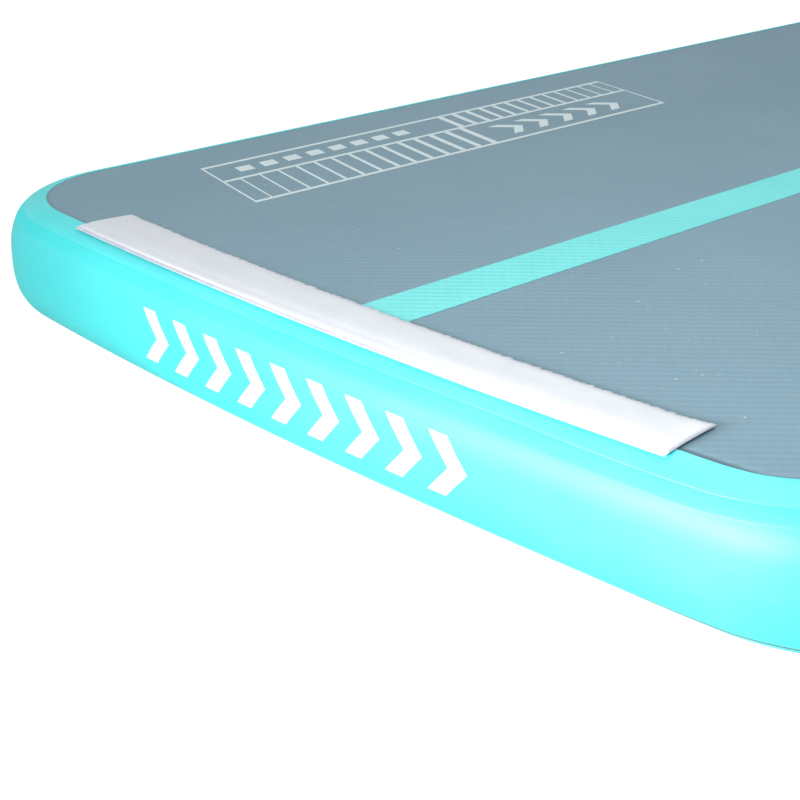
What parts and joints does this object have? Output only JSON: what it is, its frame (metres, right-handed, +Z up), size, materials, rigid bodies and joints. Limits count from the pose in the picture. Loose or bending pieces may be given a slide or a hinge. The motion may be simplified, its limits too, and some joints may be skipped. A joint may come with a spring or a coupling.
{
  "type": "air track mat",
  "caption": "Inflatable drop-stitch tumbling mat with a grey deck, turquoise side wall, loop fastener strips at the ends, carry straps and an inflation valve.",
  "frame": {"origin": "middle of the footprint, on the floor the mat lies on", "axes": "+Z up from the floor to the deck, +Y along the length from the pictured end to the far end, +X across the width to the side without the valve"},
  "size_m": [1.0512, 2.9986, 0.1074],
  "materials": {
    "deck_pvc": "matt ribbed PVC-coated fabric",
    "base_pvc": "matt PVC-coated fabric",
    "wall_pvc": "satin PVC-coated fabric",
    "tape_pvc": "satin PVC seam tape",
    "bottom_tape_pvc": "satin PVC seam tape",
    "inner_pvc": "satin PVC-coated fabric",
    "drop_stitch_fabric": "woven polyester, gas-tight coat",
    "yarn": "polyester yarn",
    "stripe_pvc": "matt PVC film",
    "strip_backing": "woven nylon tape",
    "loop_pile": "brushed nylon loops",
    "print_ink": "screen-printed ink film",
    "webbing": "woven polyester webbing",
    "valve_plastic": "moulded nylon",
    "seal_rubber": "matt rubber",
    "spring_steel": "stainless spring wire"
  },
  "bodies": {
    "mat": {"deck_skin": "deck_pvc", "base_skin": "base_pvc", "upper_base_fabric": "drop_stitch_fabric", "lower_base_fabric": "drop_stitch_fabric", "spacer_yarns": "yarn", "near_inner_wall": "inner_pvc", "far_inner_wall": "inner_pvc", "left_inner_wall": "inner_pvc", "right_inner_wall": "inner_pvc", "near_end_wall": "wall_pvc", "far_end_wall": "wall_pvc", "left_side_wall": "wall_pvc", "right_side_wall": "wall_pvc", "near_top_tape": "tape_pvc", "far_top_tape": "tape_pvc", "left_top_tape": "tape_pvc", "right_top_tape": "tape_pvc", "near_bottom_tape": "bottom_tape_pvc", "far_bottom_tape": "bottom_tape_pvc", "left_bottom_tape": "bottom_tape_pvc", "right_bottom_tape": "bottom_tape_pvc", "guide_stripe": "stripe_pvc", "near_strip_backing": "strip_backing", "near_loop_pile": "loop_pile", "far_strip_backing": "strip_backing", "far_loop_pile": "loop_pile", "deck_print": "print_ink", "end_print": "print_ink", "left_carry_strap": "webbing", "right_carry_strap": "webbing", "strap_patches": "tape_pvc", "valve_pad": "tape_pvc", "valve_gasket": "seal_rubber", "valve_base": "valve_plastic", "valve_back_nut": "valve_plastic"},
    "valve_plunger": {"valve_stem": "valve_plastic", "valve_button": "seal_rubber", "valve_seal_disc": "seal_rubber", "valve_spring": "spring_steel"},
    "cap_ring": {"cap_seal": "seal_rubber"},
    "cap": {"valve_cap": "valve_plastic"}
  },
  "joints": [
    {"name": "plunger_press", "type": "slide", "parent": "mat", "child": "valve_plunger", "axis": [1, 0, 0], "range_m": [0, 0.006], "stiffness_N_per_m": 400, "springref_m": -0.004, "deforming": ["valve_spring"]},
    {"name": "cap_pull", "type": "slide", "parent": "mat", "child": "cap_ring", "axis": [-1, 0, 0], "range_m": [0, 0.04]},
    {"name": "cap_turn", "type": "hinge", "parent": "cap_ring", "child": "cap", "pos_m": [-0.5054, 1.15, 0.0525], "axis": [-1, 0, 0], "continuous": true}
  ]
}
